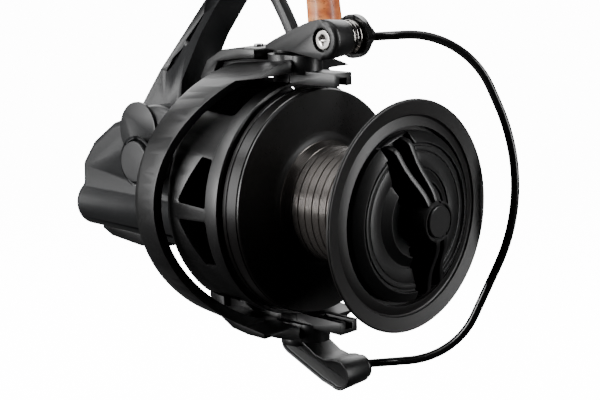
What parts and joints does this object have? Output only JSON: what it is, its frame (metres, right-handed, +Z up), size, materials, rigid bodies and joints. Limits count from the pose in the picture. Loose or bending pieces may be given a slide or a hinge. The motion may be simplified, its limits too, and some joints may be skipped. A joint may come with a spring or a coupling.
{
  "type": "spinning reel",
  "caption": "Big-pit spinning reel: long-cast spool on an oscillating shaft, hooped rotor with folding bail, front drag knob, crank handle with wooden bar.",
  "frame": {"origin": "centre of the rod seat face on top of the reel foot", "axes": "+Z up into the rod, +X forward along the spool axis towards the rod tip, +Y to the handle side"},
  "size_m": [0.1718, 0.1611, 0.167],
  "materials": {
    "body_paint": "satin grey-black paint",
    "black_plastic": "fine-textured black moulding",
    "rotor_paint": "satin black paint over a fine cast texture",
    "spool_anodised": "black anodised, turned",
    "steel": "plain machined",
    "chrome": "bright plated",
    "brass": "machined",
    "gear_alloy": "die cast and machined",
    "felt": "pressed felt",
    "wood": "oiled orange-brown hardwood"
  },
  "bodies": {
    "body": {"reel_body": "body_paint", "side_cover": "body_paint", "bottom_trim": "black_plastic", "axle_cap": "body_paint", "side_badge": "body_paint", "cover_screws": "steel", "drive_bearings": "steel", "pinion_bearing": "steel", "one_way_clutch": "steel", "clutch_rollers": "steel", "clutch_retainer": "steel", "worm_bushes": "brass", "guide_rod": "steel", "idler_pin": "steel"},
    "rotor": {"rotor": "rotor_paint", "top_arm_cover": "black_plastic", "low_arm_cover": "black_plastic", "arm_cover_screws": "steel", "rotor_nut": "steel", "pinion_gear": "brass", "clutch_sleeve": "steel"},
    "bail": {"roller_lever": "rotor_paint", "plain_lever": "rotor_paint", "bail_pivot_screws": "steel", "roller_bush": "brass", "roller_screw": "chrome", "bail_wire": "rotor_paint", "wire_cone": "rotor_paint", "wire_collar": "black_plastic"},
    "line_roller": {"line_roller": "chrome"},
    "spool_shaft": {"main_shaft": "steel", "slider_block": "gear_alloy", "slider_pawl": "brass", "spool_seat": "gear_alloy", "keyed_washers": "steel"},
    "spool": {"spool": "spool_anodised", "line_clip": "black_plastic", "click_ring": "steel", "eared_washers": "felt", "washer_ring": "steel"},
    "drag_knob": {"drag_knob": "black_plastic", "knob_hub_cap": "black_plastic", "drag_nut": "brass"},
    "handle": {"drive_gear": "gear_alloy", "handle_shank": "rotor_paint", "crank_arm": "rotor_paint", "crank_screw": "steel", "knob_axle": "steel"},
    "handle_knob": {"knob_stem": "rotor_paint", "knob_bar": "wood"},
    "worm": {"worm_shaft": "steel", "worm_gear": "brass"},
    "idler": {"idler_gear": "brass"}
  },
  "joints": [
    {"name": "rotor_spin", "type": "hinge", "parent": "body", "child": "rotor", "pos_m": [0, 0, -0.078], "axis": [1, 0, 0], "continuous": true},
    {"name": "handle_turn", "type": "hinge", "parent": "body", "child": "handle", "pos_m": [-0.034, 0, -0.0696], "axis": [0, 1, 0], "continuous": true},
    {"name": "worm_turn", "type": "hinge", "parent": "body", "child": "worm", "pos_m": [-0.05, -0.011, -0.091], "axis": [1, 0, 0], "continuous": true},
    {"name": "idler_turn", "type": "hinge", "parent": "body", "child": "idler", "pos_m": [-0.018, 0.0011, -0.0876], "axis": [1, 0, 0], "continuous": true},
    {"name": "spool_stroke", "type": "slide", "parent": "body", "child": "spool_shaft", "axis": [1, 0, 0], "range_m": [-0.024, 0.005]},
    {"name": "spool_turn", "type": "hinge", "parent": "spool_shaft", "child": "spool", "pos_m": [0.05, 0, -0.078], "axis": [1, 0, 0], "continuous": true},
    {"name": "drag_knob_turn", "type": "hinge", "parent": "spool_shaft", "child": "drag_knob", "pos_m": [0.08, 0, -0.078], "axis": [1, 0, 0], "range_deg": [-270, 270]},
    {"name": "bail_flip", "type": "hinge", "parent": "rotor", "child": "bail", "pos_m": [0.0235, 0, -0.078], "axis": [0, -0.0593, 0.9982], "range_deg": [-95, 0]},
    {"name": "line_roller_spin", "type": "hinge", "parent": "bail", "child": "line_roller", "pos_m": [0.0453, -0.00338, -0.0211], "axis": [0, 0.9982, 0.0593], "continuous": true},
    {"name": "handle_knob_spin", "type": "hinge", "parent": "handle", "child": "handle_knob", "pos_m": [-0.069, 0.09, -0.0016], "axis": [0, 1, 0], "continuous": true}
  ],
  "couplings": [
    {"joint": "handle_turn", "follows": "rotor_spin", "ratio": -0.2439},
    {"joint": "idler_turn", "follows": "rotor_spin", "ratio": -0.90909},
    {"joint": "worm_turn", "follows": "rotor_spin", "ratio": 0.58823}
  ]
}
